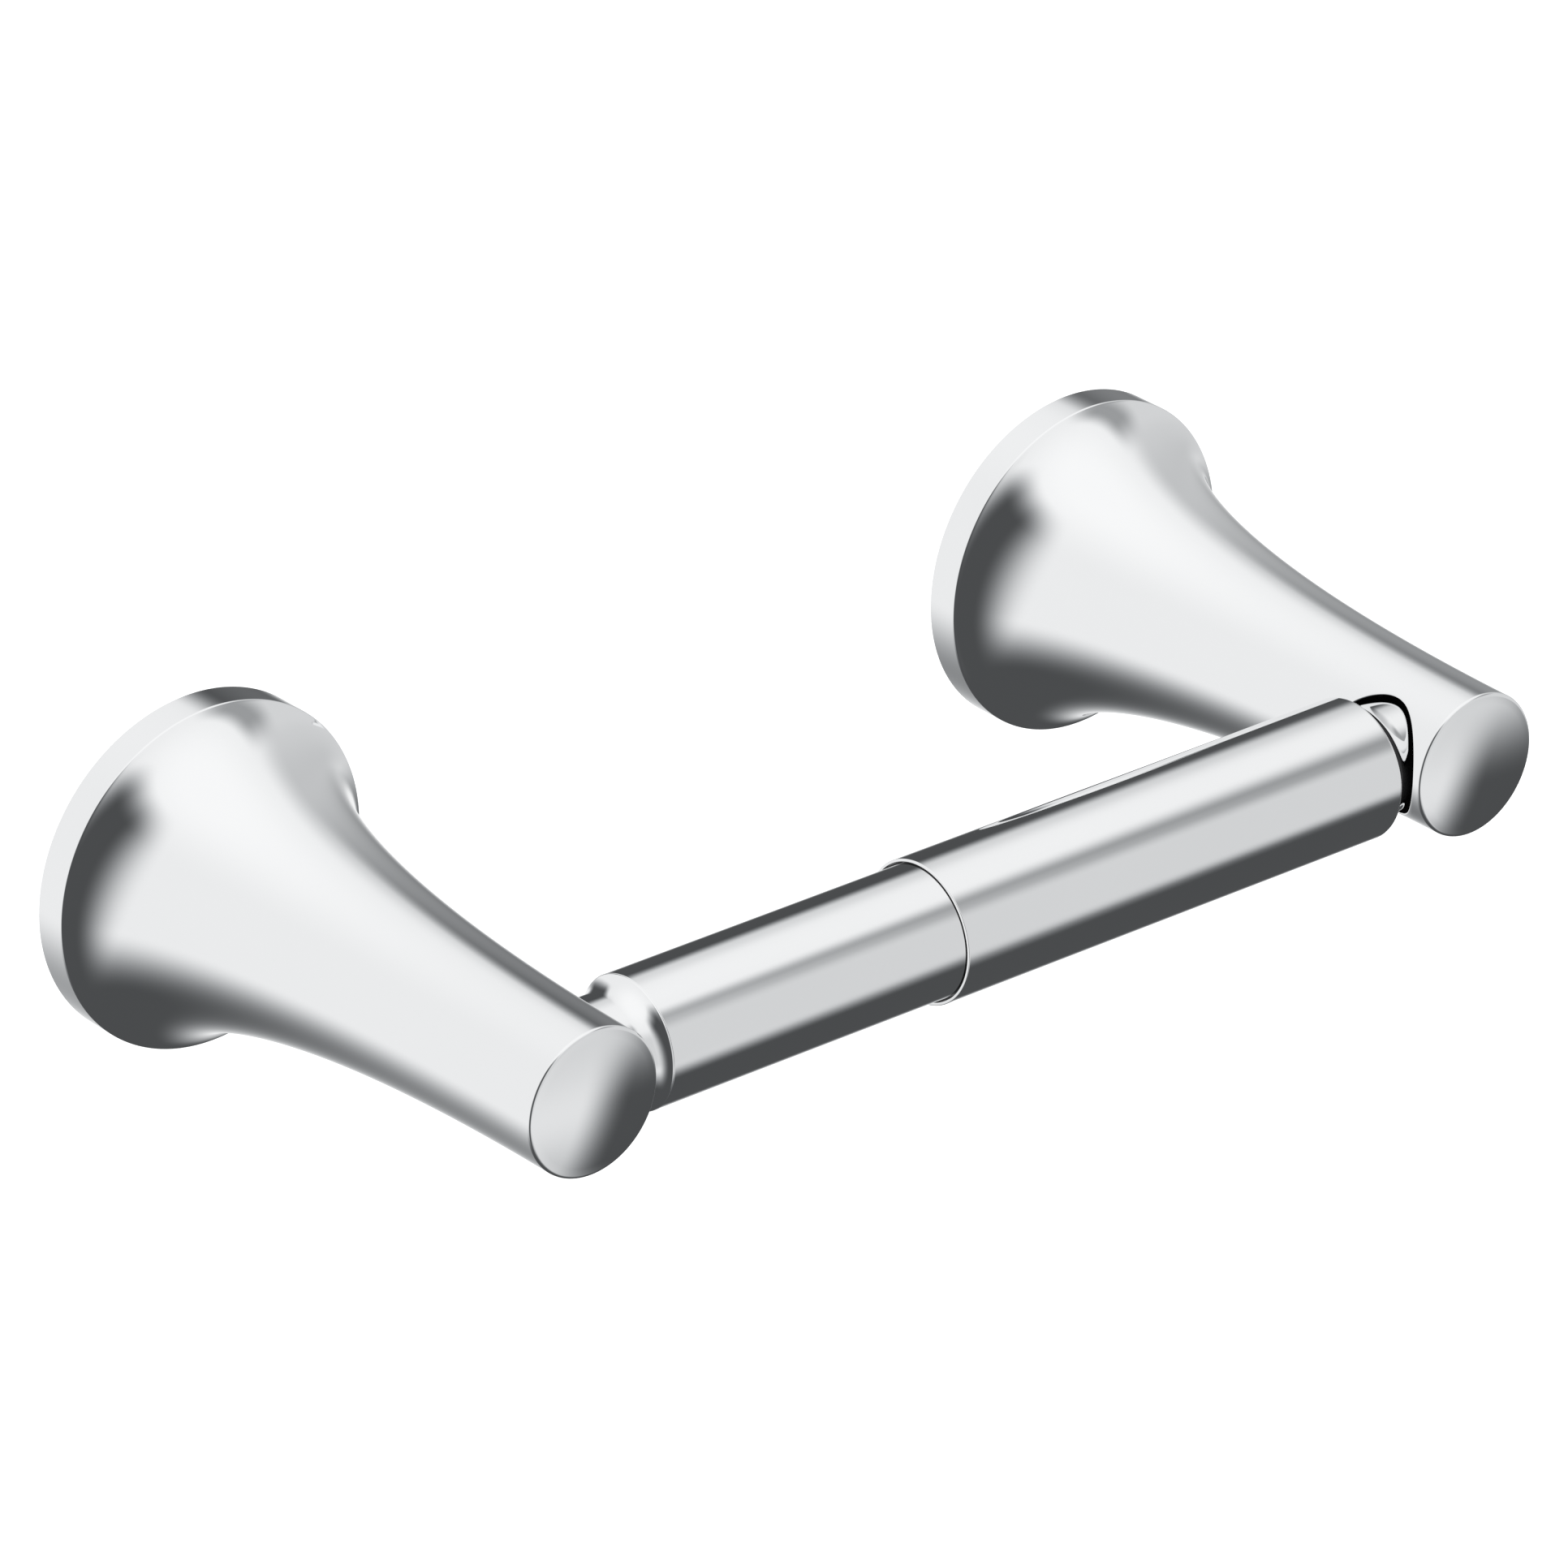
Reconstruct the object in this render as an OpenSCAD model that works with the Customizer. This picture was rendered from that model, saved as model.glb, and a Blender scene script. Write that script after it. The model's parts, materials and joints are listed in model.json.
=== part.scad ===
// Wall-mounted toilet paper holder: two flared posts and a sprung telescoping roller.
// The origin is on the wall plane, midway between the posts, at the height of their axes.
// +X runs along the roller, the posts stand out along -Y, and +Z is up.

/* [Posts] */
// Distance between the axes of the two posts
post_spacing = 159; // [156:1:162]
// How far each post stands out from the wall
post_length = 86; // [84:0.5:92]
// Diameter of the round wall flange
flange_d = 50.8; // [48:0.1:56]
// Width of the flange's rim, up to the corner where the flare starts
rim_w = 5; // [4.8:0.1:6]
// Rounding of the rim's front edge
rim_fillet = 0.4; // [0.2:0.1:0.8]
// Diameter of the post's shaft at its tip
tip_d = 21.5; // [21:0.1:23]
// Rounding of the tip's edge
tip_fillet = 0.5; // [0.3:0.1:1]
// Height of the slight dome on the tip
tip_dome = 0.7; // [0.1:0.1:1]
// Angle between the flare and the post's axis where the flare leaves the rim
flare_angle = 49.5; // [45:0.5:54]
// How far the flare holds that angle
flare_pull = 11.8; // [10:0.1:14]
// How far the shaft holds its tip diameter
shaft_pull = 47; // [42:0.5:50]
// Taper of the shaft's radius over that length
shaft_taper = 0.15; // [0:0.05:0.4]

/* [Post hollow] */
// Thickness of the wall around the hollow back
wall_t = 2.8; // [2.4:0.1:3]
// Radius of the recess that the wall bracket sits in
pocket_r = 22.4; // [22:0.1:22.6]
// Depth of the hollow from the wall
hollow_depth = 40; // [30:1:50]

/* [Roller socket] */
// Distance of the roller's axis from the wall
roller_y = 76; // [74:0.5:78]
// Diameter of the socket in the side of each post
socket_d = 17; // [16.6:0.1:17.4]
// Distance from the post's axis to the socket's floor
socket_floor = 2.9; // [2.5:0.1:4]
// Depth of the pivot hole in the socket's floor
pivot_depth = 2; // [1.5:0.1:2.4]

/* [Wall bracket] */
// Thickness of the bracket's steel
plate_t = 1.5; // [1.2:0.1:2]
// Width of the bracket
bracket_w = 26; // [22:1:26]
// Height of the bracket's flat back
bracket_h = 32; // [30:0.5:32]
// How far the two bent tabs stand out from the wall
tab_depth = 6; // [5:0.5:6]
// Outward lean of the tabs
tab_lean = 8; // [4:1:10]
// Vertical distance between a bracket's two screw holes
hole_spacing = 18; // [14:1:20]
// Diameter of the wall screw holes
hole_d = 4.5; // [4:0.1:5]

/* [Set screw] */
// Thread diameter of the set screw
screw_d = 4; // [3:0.5:4]
// Length of the set screw
screw_l = 8; // [7.6:0.1:8.4]
// Width across the flats of its hex socket
hex_w = 2; // [1.5:0.5:2]
// Distance of the set screw from the wall
screw_y = 2.8; // [2.6:0.1:3.2]

/* [Roller] */
// Diameter of the larger tube
outer_d = 20.6; // [20.4:0.05:21]
// Diameter of the smaller tube
inner_d = 19.05; // [18.9:0.05:19.1]
// Position of the larger tube's open mouth
mouth_x = -14.85; // [-18:0.05:-10]
// Width of the lip round that mouth
lip_w = 0.42; // [0.36:0.02:0.5]
// Depth of the recess inside the mouth
mouth_depth = 2.5; // [1:0.5:4]
// Position of the smaller tube's hidden end
hidden_end_x = 16; // [12:1:20]
// Wall of the smaller tube
inner_wall = 0.8; // [0.5:0.1:1]
// Rounding of the tubes' edges
edge_r = 0.1; // [0.05:0.05:0.3]

/* [Roller ends] */
// Diameter of the neck at each end of the roller
neck_d = 15.8; // [14:0.1:16]
// Radius of the cove between the shoulder and the neck
cove_r = 5; // [4:0.1:6]
// Distance from the middle to where each neck starts
neck_x = 69.3; // [69:0.1:70]
// Gap between the neck's end and the socket's floor
neck_gap = 0.3; // [0.2:0.1:0.6]
// Diameter of the pivot on the end of each neck
pivot_d = 4; // [3:0.1:5]

/* [Spring] */
// Diameter of the spring's wire
wire_d = 1.2; // [0.8:0.1:1.4]
// Mean diameter of the coils
coil_d = 13; // [12.5:0.1:15]
// Number of open coils
coils = 9; // [6:1:11]
// Position of the spring's right seat, on the right end plug
spring_right_x = 53.1; // [52:0.1:54]

/* [Hidden] */

round_fn = 96;
small_fn = 48;
eps = 0.01;
chrome = [0.86, 0.87, 0.88];
steel = [0.62, 0.63, 0.65];
nylon = [0.90, 0.90, 0.87];
dark_steel = [0.30, 0.31, 0.33];

// Fits: gap on the radius of a sliding or turning fit, and of a pressed-in plug
run_gap = 0.06;
press_gap = 0.02;
// Clearance between two parts of a post that rest on each other
rest_gap = 0.05;

flange_r = flange_d / 2;
tip_r = tip_d / 2;
socket_r = socket_d / 2;
pivot_r = pivot_d / 2;
neck_r = neck_d / 2;
outer_r = outer_d / 2;
inner_r = inner_d / 2;
post_x = post_spacing / 2;

// Roller: inside radii of the larger tube, from its mouth inwards
outer_wall = 0.4;
mouth_r = outer_r - lip_w;
land_r = inner_r + run_gap;
land_end_x = -4;
bore_r = outer_r - outer_wall;
inner_bore_r = inner_r - inner_wall;
chamfer = 0.3;

// Roller: places along X
floor_x = post_x - socket_floor;
neck_end_x = floor_x - neck_gap;
pivot_tip_gap = 0.1;
pivot_end_x = floor_x + pivot_depth - pivot_tip_gap;
plug_depth = 12;
plug_hollow_r = 5;
plug_bore_r = 3.5;
plug_web = 2;
neck_round_r = 0.5;
boss_gap = 0.4;
boss_r = coil_d / 2 - wire_d / 2 - boss_gap;
boss_l = 5;
stop_t = 3;
spring_left_x = hidden_end_x + stop_t;

// Flared outline of a post, as [distance from the wall, radius]. The rim's rounded edge ends
// rim_turn beyond the corner, in line with the flare.
rim_turn = rim_fillet * tan(flare_angle / 2);
flare_start = [rim_w, flange_r] + rim_turn * [cos(flare_angle), -sin(flare_angle)];
flare_end = [post_length - tip_fillet, tip_r];
flare_handle = flare_start + flare_pull * [cos(flare_angle), -sin(flare_angle)];
shaft_handle = flare_end + [-shaft_pull, shaft_taper];
flare_steps = 28;

function bezier(t) = pow(1 - t, 3) * flare_start + 3 * t * pow(1 - t, 2) * flare_handle
    + 3 * t * t * (1 - t) * shaft_handle + pow(t, 3) * flare_end;
function bezier_slope(t) = 3 * pow(1 - t, 2) * (flare_handle - flare_start)
    + 6 * t * (1 - t) * (shaft_handle - flare_handle) + 3 * t * t * (flare_end - shaft_handle);
function unit(v) = v / norm(v);

// A point of the flare moved inwards, at right angles to it, by the wall's thickness
function inside(t) = let (s = unit(bezier_slope(t))) bezier(t) + wall_t * [s.y, -s.x];

// Points of an arc, as [radius, length] pairs for a turned outline
function arc(centre, r, from, to, steps = 5) =
    [for (i = [0:steps]) let (a = from + (to - from) * i / steps) centre + r * [cos(a), sin(a)]];

// Radius of the cove at a distance d back from where the neck starts
function cove(d) = neck_r + cove_r - sqrt(cove_r * cove_r - d * d);

// A plug's shoulder stands shoulder_drop under its tube's surface. Its edge is rounded with a
// ball of radius crest_r that touches the cove; crest_reach is how far back from the neck the
// ball's centre lies, and the tube ends seam_w before it.
shoulder_drop = 0.05;
crest_r = 0.25;
seam_w = 0.03;
function crest_drop(r) = neck_r + cove_r - r + shoulder_drop + crest_r;
function crest_reach(r) = sqrt(pow(cove_r + crest_r, 2) - pow(crest_drop(r), 2));
outer_end_x = neck_x - crest_reach(outer_r) - seam_w;
inner_end_x = neck_x - crest_reach(inner_r) - seam_w;

// Turns an outline of [radius, x] pairs about the roller's axis
module turned(outline) {
    translate([0, -roller_y, 0])
        rotate([0, 90, 0])
            rotate_extrude($fn = round_fn)
                polygon(outline);
}

// Moves a part from the frame of the post's own axis to the left or right post
module at_left() {
    translate([-post_x, 0, 0])
        mirror([1, 0, 0])
            children();
}
module at_right() {
    translate([post_x, 0, 0])
        children();
}

// ---- Posts -------------------------------------------------------------------

module post_solid() {
    rim = arc([flange_r - rim_fillet, rim_w - rim_turn], rim_fillet, 0, flare_angle);
    flare = [for (i = [1:flare_steps]) let (p = bezier(i / flare_steps)) [p.y, p.x]];
    edge = arc([tip_r - tip_fillet, post_length - tip_fillet], tip_fillet, 0, 90);
    dome_r = tip_r - tip_fillet;
    dome = [for (i = [1:6]) let (k = 1 - i / 6) [dome_r * k, post_length + tip_dome * (1 - k * k)]];
    rotate([90, 0, 0])
        rotate_extrude($fn = round_fn)
            polygon(concat([[0, 0], [flange_r, 0]], rim, flare, edge, dome));
}

module post_hollow() {
    steps = [for (i = [0:flare_steps]) inside(i / flare_steps)];
    slope = [for (p = steps) if (p.y < pocket_r && p.x < hollow_depth) [p.y, p.x]];
    last = slope[len(slope) - 1];
    rotate([90, 0, 0])
        rotate_extrude($fn = round_fn)
            polygon(concat([[0, -1], [pocket_r, -1], [pocket_r, slope[0].y]], slope,
                           [[last.x, hollow_depth], [0, hollow_depth]]));
}

// The pad and the boss are sunk this far into the flange, and stop short of the wall
pad_sink = 0.6;
pad_back = 0.5;

// Pad inside the top of the flange, which hangs on the bracket's upper tab
module hanging_pad() {
    pad_w = 12;
    pad_top = pocket_r + pad_sink;
    pad_slope = 1.5;
    lean = tan(tab_lean);
    low = bracket_h / 2 + rest_gap;
    translate([-pad_w / 2, 0, 0])
        rotate([90, 0, 90])
            linear_extrude(pad_w)
                polygon([[-pad_back, low + pad_back * lean], [-tab_depth, low + tab_depth * lean],
                         [-tab_depth, pad_top - pad_slope], [-rim_w, pad_top], [-pad_back, pad_top]]);
}

// Boss inside the bottom of the flange, threaded for the set screw
module screw_boss() {
    boss_w = 9;
    boss_top = 19.4;
    boss_d = 6;
    translate([-boss_w / 2, -boss_d, -pocket_r - pad_sink])
        cube([boss_w, boss_d - pad_back, pocket_r + pad_sink - boss_top]);
}

module screw_hole() {
    translate([0, -screw_y, -flange_r - 1])
        cylinder(h = flange_r, r = screw_d / 2, $fn = small_fn);
}

// Socket for the roller's neck, in the post's own frame, opening towards -X
module roller_socket() {
    translate([0, -roller_y, 0])
        rotate([0, -90, 0]) {
            translate([0, 0, socket_floor])
                cylinder(h = 2 * tip_r, r = socket_r, $fn = round_fn);
            translate([0, 0, socket_floor - pivot_depth])
                cylinder(h = pivot_depth + eps, r = pivot_r + run_gap, $fn = small_fn);
        }
}

module post() {
    color(chrome)
        difference() {
            union() {
                difference() {
                    post_solid();
                    post_hollow();
                }
                hanging_pad();
                screw_boss();
            }
            screw_hole();
            roller_socket();
        }
}

module left_post() {
    at_left() post();
}
module right_post() {
    at_right() post();
}

// ---- Wall brackets and set screws --------------------------------------------

module bracket() {
    half = bracket_h / 2;
    out = half + tab_depth * tan(tab_lean);
    skin = plate_t / cos(tab_lean);
    in = half + plate_t * tan(tab_lean) - skin;
    side = [[0, half], [-tab_depth, out], [-tab_depth, out - skin], [-plate_t, in]];
    other_side = [for (i = [3:-1:0]) [side[i].x, -side[i].y]];
    color(steel)
        difference() {
            translate([-bracket_w / 2, 0, 0])
                rotate([90, 0, 90])
                    linear_extrude(bracket_w)
                        polygon(concat(side, other_side));
            for (s = [-1, 1])
                translate([0, 1, s * hole_spacing / 2])
                    rotate([90, 0, 0])
                        cylinder(h = plate_t + 2, d = hole_d, $fn = small_fn);
        }
}

module left_bracket() {
    at_left() bracket();
}
module right_bracket() {
    at_right() bracket();
}

module set_screw() {
    bite_gap = 0.2;
    tip_z = -(bracket_h / 2 + screw_y * tan(tab_lean)) - bite_gap;
    thread_r = screw_d / 2 - rest_gap;
    point_l = 1;
    hex_depth = 2.5;
    color(dark_steel)
        translate([0, -screw_y, tip_z - screw_l])
            difference() {
                rotate_extrude($fn = small_fn)
                    polygon([[0, 0], [thread_r - chamfer, 0], [thread_r, chamfer],
                             [thread_r, screw_l - point_l],
                             [thread_r * 0.45, screw_l], [0, screw_l]]);
                translate([0, 0, -1])
                    cylinder(h = 1 + hex_depth, r = hex_w / sqrt(3), $fn = 6);
            }
}

module left_set_screw() {
    at_left() set_screw();
}
module right_set_screw() {
    at_right() set_screw();
}

// ---- Roller --------------------------------------------------------------------

module outer_tube() {
    mouth = arc([outer_r - edge_r, mouth_x + edge_r], edge_r, 270, 360);
    closed = arc([outer_r - edge_r, outer_end_x - edge_r], edge_r, 0, 90);
    color(chrome)
        turned(concat([[mouth_r, mouth_x]], mouth, closed,
                      [[bore_r, outer_end_x], [bore_r, land_end_x], [land_r, land_end_x - chamfer],
                       [land_r, mouth_x + mouth_depth], [mouth_r, mouth_x + mouth_depth]]));
}

module inner_tube() {
    closed = arc([inner_r - edge_r, -inner_end_x + edge_r], edge_r, 270, 360);
    color(chrome)
        turned(concat([[inner_bore_r, -inner_end_x]], closed,
                      [[inner_r, hidden_end_x - chamfer], [inner_r - chamfer, hidden_end_x],
                       [inner_bore_r, hidden_end_x]]));
}

// Outline of an end plug as [radius, distance from the middle], from its seam with a tube of
// radius tube_r: the rounded shoulder, the cove, the neck and the pivot
function plug_outline(tube_r) =
    let (reach = crest_reach(tube_r),
         tilt = atan2(reach, crest_drop(tube_r)),
         start = cove_r * sin(tilt),
         shoulder_r = tube_r - shoulder_drop,
         cove_steps = 10)
    concat([[shoulder_r, neck_x - reach - seam_w]],
           arc([shoulder_r - crest_r, neck_x - reach], crest_r, 0, tilt),
           [for (i = [1:cove_steps]) let (d = start * (1 - i / cove_steps)) [cove(d), neck_x - d]],
           arc([neck_r - neck_round_r, neck_end_x - neck_round_r], neck_round_r, 0, 90),
           [[pivot_r, neck_end_x], [pivot_r, pivot_end_x - chamfer],
            [pivot_r - chamfer, pivot_end_x], [0, pivot_end_x], [0, neck_x - plug_web]]);

module right_end_plug() {
    boss_x = spring_right_x - boss_l;
    spigot_r = bore_r - press_gap;
    color(chrome)
        turned(concat([[plug_bore_r, boss_x], [boss_r - chamfer, boss_x],
                       [boss_r, boss_x + chamfer], [boss_r, spring_right_x],
                       [spigot_r, spring_right_x], [spigot_r, outer_end_x]],
                      plug_outline(outer_r), [[plug_bore_r, neck_x - plug_web]]));
}

module left_end_plug() {
    inner_x = inner_end_x - plug_depth;
    spigot_r = inner_bore_r - press_gap;
    color(chrome)
        translate([0, -2 * roller_y, 0])
            rotate([0, 0, 180])
                turned(concat([[plug_hollow_r, inner_x], [spigot_r, inner_x],
                               [spigot_r, inner_end_x]],
                              plug_outline(inner_r), [[plug_hollow_r, neck_x - plug_web]]));
}

// Guide and stop on the smaller tube's hidden end, with the boss that centres the spring
module slide_plug() {
    spigot_l = 10;
    hole_r = 3;
    lead = 0.5;
    low_x = hidden_end_x - spigot_l;
    high_x = spring_left_x + boss_l;
    stop_r = bore_r - run_gap;
    spigot_r = inner_bore_r - press_gap;
    color(nylon)
        turned([[hole_r, low_x], [spigot_r - lead, low_x], [spigot_r, low_x + lead],
                [spigot_r, hidden_end_x], [stop_r, hidden_end_x], [stop_r, spring_left_x],
                [boss_r, spring_left_x], [boss_r, high_x - chamfer], [boss_r - chamfer, high_x],
                [hole_r, high_x]]);
}

// ---- Spring --------------------------------------------------------------------

// The wire's centre line: one closed coil at each end and open coils between them
wire_gap = 0.02;
closed_pitch = wire_d + wire_gap;
first_x = spring_left_x + wire_d / 2 + wire_gap;
last_x = spring_right_x - wire_d / 2 - wire_gap;
open_pitch = (last_x - first_x - 2 * closed_pitch) / coils;
function wire_x(turn) = turn < 1 ? first_x + turn * closed_pitch
    : turn > coils + 1 ? last_x - (coils + 2 - turn) * closed_pitch
    : first_x + closed_pitch + (turn - 1) * open_pitch;

module spring() {
    per_turn = 16;
    sides = 8;
    rings = (coils + 2) * per_turn;
    points = [for (i = [0:rings], k = [0:sides - 1])
        let (a = 360 * i / per_turn, b = 360 * k / sides, r = coil_d / 2 + wire_d / 2 * cos(b))
        [wire_x(i / per_turn) + wire_d / 2 * sin(b), -roller_y + r * cos(a), r * sin(a)]];
    sweep = [for (i = [0:rings - 1], k = [0:sides - 1])
        let (n = (k + 1) % sides, c = i * sides)
        each [[c + k, c + sides + k, c + n], [c + n, c + sides + k, c + sides + n]]];
    start_cap = [for (k = [0:sides - 1]) k];
    end_cap = [for (k = [sides - 1:-1:0]) rings * sides + k];
    color(steel)
        polyhedron(points, concat(sweep, [start_cap, end_cap]));
}

left_post();
right_post();
left_bracket();
right_bracket();
left_set_screw();
right_set_screw();
outer_tube();
right_end_plug();
inner_tube();
left_end_plug();
slide_plug();
spring();
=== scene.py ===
import json
import math

import bmesh
import bpy
from mathutils import Matrix, Vector


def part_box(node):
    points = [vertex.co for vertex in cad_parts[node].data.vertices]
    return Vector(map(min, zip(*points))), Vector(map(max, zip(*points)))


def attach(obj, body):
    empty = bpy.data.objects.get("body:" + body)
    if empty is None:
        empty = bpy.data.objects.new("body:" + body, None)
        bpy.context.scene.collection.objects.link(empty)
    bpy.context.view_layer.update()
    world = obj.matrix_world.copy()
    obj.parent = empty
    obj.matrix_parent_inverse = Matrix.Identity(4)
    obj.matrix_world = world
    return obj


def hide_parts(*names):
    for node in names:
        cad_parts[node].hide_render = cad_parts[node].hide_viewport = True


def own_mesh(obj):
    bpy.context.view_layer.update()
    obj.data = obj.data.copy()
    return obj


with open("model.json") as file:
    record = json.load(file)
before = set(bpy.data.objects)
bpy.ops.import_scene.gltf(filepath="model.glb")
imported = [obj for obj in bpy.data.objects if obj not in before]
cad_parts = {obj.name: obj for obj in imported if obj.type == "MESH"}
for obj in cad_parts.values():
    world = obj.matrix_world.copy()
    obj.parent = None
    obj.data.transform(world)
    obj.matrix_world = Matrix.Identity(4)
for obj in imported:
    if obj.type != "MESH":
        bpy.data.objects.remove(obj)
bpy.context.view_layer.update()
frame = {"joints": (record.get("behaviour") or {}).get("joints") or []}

# Wall-mounted toilet paper holder: two flared posts and a sprung telescoping roller, all in
# polished chrome. Lengths are in millimetres until a mesh is made, and a turned outline is a
# list of (radius, place along the axis). A post's own axis runs from the wall outwards.

MM = 0.001
ROUND = 256
SMALL_ROUND = 96
SHARP_ANGLE = 32
BOX_MARGIN = 0.001

# ---- Sizes from the frame ------------------------------------------------------------


def box_mm(node):
    """A CAD node's lowest and highest corners, in millimetres."""
    low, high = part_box(node)
    return [round(v / MM, 3) for v in low], [round(v / MM, 3) for v in high]


POST_LOW, POST_HIGH = box_mm("right_post")
OUTER_LOW, OUTER_HIGH = box_mm("outer_tube")
INNER_LOW, INNER_HIGH = box_mm("inner_tube")
PIVOT_END = box_mm("right_end_plug")[1][0]
BRACKET_LOW, BRACKET_HIGH = box_mm("right_bracket")
SCREW_LOW, SCREW_HIGH = box_mm("right_set_screw")
GUIDE_LOW, GUIDE_HIGH = box_mm("slide_plug")
SPIN = next(j for j in frame["joints"] if j["name"] == "roller_spin")
COMPRESS = next(j for j in frame["joints"] if j["name"] == "roller_compress")

POST_X = (POST_LOW[0] + POST_HIGH[0]) / 2
ROLLER_Y = -SPIN["pos_m"][1] / MM

# Posts
FLANGE_R = POST_HIGH[2] - BOX_MARGIN
TIP_DOME = 0.7
POST_L = -POST_LOW[1] - TIP_DOME
TIP_R = 10.75
TIP_FILLET = 0.5
RIM_W = 5.0
RIM_FILLET = 0.4
FLARE_ANGLE = math.radians(49.5)
RIM_TURN = RIM_FILLET * math.tan(FLARE_ANGLE / 2)
FLARE_PULL = 11.8
SHAFT_PULL = 47.0
SHAFT_TAPER = 0.15
WALL_T = 2.8
POCKET_R = 22.4
HOLLOW_DEPTH = 40.0
HOLLOW_ROUNDING = 2.0
BACK_BREAK = 0.15

# Roller sockets
SOCKET_R = 8.5
SOCKET_FLOOR = 2.9
SOCKET_EDGE = 0.2
SOCKET_CORNER = 0.4
PIVOT_DEPTH = 2.0
PIVOT_HOLE_R = 2.06
PIVOT_BREAK = 0.25

# Roller
OUTER_R = OUTER_HIGH[2]
MOUTH_X = OUTER_LOW[0]
OUTER_END = OUTER_HIGH[0]
LIP_W = 0.42
MOUTH_R = OUTER_R - LIP_W
MOUTH_DEPTH = 2.5
MOUTH_BREAK = 0.05
OUTER_WALL = 0.4
BORE_R = OUTER_R - OUTER_WALL
INNER_R = INNER_HIGH[2]
INNER_END = -INNER_LOW[0]
HIDDEN_END = INNER_HIGH[0]
INNER_WALL = 0.8
INNER_BORE_R = INNER_R - INNER_WALL
SLIDE_GAP = 0.06
LAND_R = INNER_R + SLIDE_GAP
LAND_END = -4.0
EDGE_R = 0.1
CHAMFER = 0.3
STOP_W = 3.0
STOP_END = HIDDEN_END + STOP_W
GUIDE_BORE_R = 3.0
SPRING_END = COMPRESS["deforming_nodes"][0]["fixed_end_x_m"] / MM

# Roller ends
NECK_R = 7.9
NECK_X = 69.3
NECK_END = 76.3
COVE_R = 5.0
CREST_R = 0.25
SHOULDER_DROP = 0.05
NECK_ROUNDING = 0.5
PIVOT_R = 2.0
PIVOT_ROOT = 0.2
PLUG_DEPTH = 12.0
HOLLOW_END = NECK_X - 2
RIGHT_HOLLOW_R = 3.5
LEFT_HOLLOW_R = 5.0
BOSS_R = 5.5
BOSS_L = 5.0
PRESS_GAP = 0.02

# Spring
WIRE_R = 0.6
COIL_R = 6.5
COIL_GAP = 0.02
OPEN_COILS = 9

# ---- Outlines ------------------------------------------------------------------------


def arc(centre, radius, start, end, steps=6):
    """Points round an arc, from one angle to the other in degrees."""
    points = []
    for i in range(steps + 1):
        a = math.radians(start + (end - start) * i / steps)
        points.append((centre[0] + radius * math.cos(a), centre[1] + radius * math.sin(a)))
    return points


def rounded(corners, radius, steps=4):
    """An outline with every corner rounded, and a corner's own radius where it gives a third number."""
    points = []
    for i, corner in enumerate(corners):
        p = Vector(corner[:2])
        r = corner[2] if len(corner) > 2 else radius
        if r == 0:
            points.append(tuple(p))
            continue
        before = (Vector(corners[i - 1][:2]) - p).normalized()
        after = (Vector(corners[(i + 1) % len(corners)][:2]) - p).normalized()
        half = before.angle(after) / 2
        reach = r / math.tan(half)
        centre = p + (before + after).normalized() * (r / math.sin(half))
        first = p + before * reach - centre
        turn = first.angle_signed(p + after * reach - centre)
        for k in range(steps + 1):
            a = -turn * k / steps
            c, s = math.cos(a), math.sin(a)
            points.append((centre.x + c * first.x - s * first.y, centre.y + s * first.x + c * first.y))
    return points


def held(outline, closed, hold=0.04, longest=1.2):
    """Adds a point close to each end of every long straight stretch, so that its shading stays flat."""
    points = []
    count = len(outline)
    for i in range(count if closed else count - 1):
        p = Vector(outline[i])
        q = Vector(outline[(i + 1) % count])
        points.append(tuple(p))
        if (q - p).length > longest:
            step = (q - p).normalized() * hold
            points += [tuple(p + step), tuple(q - step)]
    if not closed:
        points.append(outline[-1])
    return points


# ---- Meshes --------------------------------------------------------------------------


def make_piece(name, verts, faces, sharp_angle=SHARP_ANGLE):
    """An object from points in millimetres."""
    mesh = bpy.data.meshes.new(name)
    mesh.from_pydata([tuple(c * MM for c in v) for v in verts], [], faces)
    return finish_mesh(name, mesh, sharp_angle)


def shade(mesh, sharp_angle=SHARP_ANGLE):
    mesh.shade_smooth()
    mesh.set_sharp_from_angle(angle=math.radians(sharp_angle))


def finish_mesh(name, mesh, sharp_angle):
    """Turns the faces outwards, shades them and makes the mesh an object."""
    work = bmesh.new()
    work.from_mesh(mesh)
    bmesh.ops.recalc_face_normals(work, faces=work.faces)
    work.to_mesh(mesh)
    work.free()
    shade(mesh, sharp_angle)
    obj = bpy.data.objects.new(name, mesh)
    bpy.context.scene.collection.objects.link(obj)
    return obj


def turn(outline, place, closed=True, steps=ROUND, twist=None):
    """Turns an outline about its axis. place takes (side, up, along) to a point of the holder."""
    verts, faces, rings = [], [], []
    for radius, along in outline:
        if radius < 1e-6:
            rings.append([len(verts)] * steps)
            verts.append(place(0, 0, along))
            continue
        rings.append(list(range(len(verts), len(verts) + steps)))
        for k in range(steps):
            a = 2 * math.pi * k / steps
            r = twist(radius, along, a) if twist else radius
            verts.append(place(r * math.cos(a), r * math.sin(a), along))
    pairs = list(zip(rings, rings[1:]))
    if closed:
        pairs.append((rings[-1], rings[0]))
    for low, high in pairs:
        for k in range(steps):
            n = (k + 1) % steps
            face = dict.fromkeys((low[k], low[n], high[n], high[k]))
            if len(face) > 2:
                faces.append(tuple(face))
    return verts, faces


def along_roller(side, up, along):
    """A turned piece whose outline runs towards the holder's right."""
    return along, side - ROLLER_Y, up


def along_roller_back(side, up, along):
    """A turned piece whose outline runs towards the holder's left."""
    return -along, side - ROLLER_Y, up


def post_place(sign):
    """Takes (towards the roller, up, away from the wall) to a point of the holder."""
    def place(inward, up, out):
        return sign * (POST_X - inward), -out, up
    return place


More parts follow.
